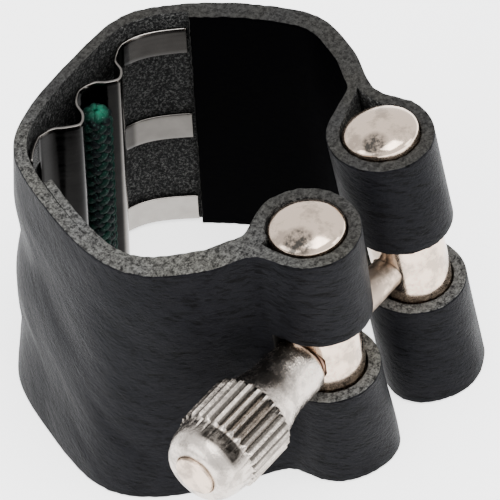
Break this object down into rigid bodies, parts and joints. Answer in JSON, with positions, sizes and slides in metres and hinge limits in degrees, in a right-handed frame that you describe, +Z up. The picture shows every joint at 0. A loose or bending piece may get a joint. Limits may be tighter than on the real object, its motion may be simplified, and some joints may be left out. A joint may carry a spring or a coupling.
{
  "type": "saxophone ligature",
  "caption": "Leather strap ligature that clamps a reed to a saxophone mouthpiece, drawn tight by a knurled thumbscrew between two posts.",
  "frame": {"origin": "centre of the bounding box, at the level of the strap's bottom rim", "axes": "+Z up the mouthpiece towards its tip, +X along the screw away from its knob, +Y from the posts to the reed plate"},
  "size_m": [0.0382, 0.0374, 0.0263],
  "materials": {
    "leather": "black, satin grain outside, brushed suede inside",
    "nickel": "polished nickel plate",
    "steel": "plated steel rod",
    "bronze": "dark bronze",
    "spring_sheet": "bright spring sheet, faint rolling marks",
    "braid": "green and black braid"
  },
  "bodies": {
    "band": {"strap_back": "leather", "reed_plate": "spring_sheet", "reed_cord": "braid"},
    "side_left": {"strap_side_left": "leather", "flap_left": "leather", "loop_upper_left": "leather", "loop_lower_left": "leather"},
    "side_right": {"strap_side_right": "leather", "flap_right": "leather", "loop_upper_right": "leather", "loop_lower_right": "leather"},
    "post_left": {"post_left": "nickel"},
    "post_right": {"post_right": "nickel"},
    "thumbscrew": {"knob": "nickel", "screw_rod": "steel", "washer_inner": "bronze", "washer_outer": "bronze"}
  },
  "joints": [
    {"name": "flex_left", "type": "hinge", "parent": "band", "child": "side_left", "pos_m": [-0.00839, 0.01349, 0.0126], "axis": [0, 0, 1], "range_deg": [-1.4, 1.5]},
    {"name": "flex_right", "type": "hinge", "parent": "band", "child": "side_right", "pos_m": [0.01391, 0.01249, 0.0126], "axis": [0, 0, 1], "range_deg": [-3.4, 3.15]},
    {"name": "swivel_left", "type": "hinge", "parent": "side_left", "child": "post_left", "pos_m": [-0.00119, -0.01191, 0.0125], "axis": [0, 0, 1], "range_deg": [-1.5, 1.4]},
    {"name": "swivel_right", "type": "hinge", "parent": "side_right", "child": "post_right", "pos_m": [0.01081, -0.01191, 0.0125], "axis": [0, 0, 1], "range_deg": [-3.15, 3.4]},
    {"name": "thumbscrew_turn", "type": "hinge", "parent": "post_left", "child": "thumbscrew", "pos_m": [-0.00119, -0.01191, 0.0125], "axis": [1, 0, 0], "range_deg": [-1080, 1170]}
  ],
  "couplings": [
    {"joint": "flex_left", "follows": "thumbscrew_turn", "ratio": 0.0012314},
    {"joint": "flex_right", "follows": "thumbscrew_turn", "ratio": -0.0028601},
    {"joint": "swivel_left", "follows": "thumbscrew_turn", "ratio": -0.0012314},
    {"joint": "swivel_right", "follows": "thumbscrew_turn", "ratio": 0.0028601}
  ]
}
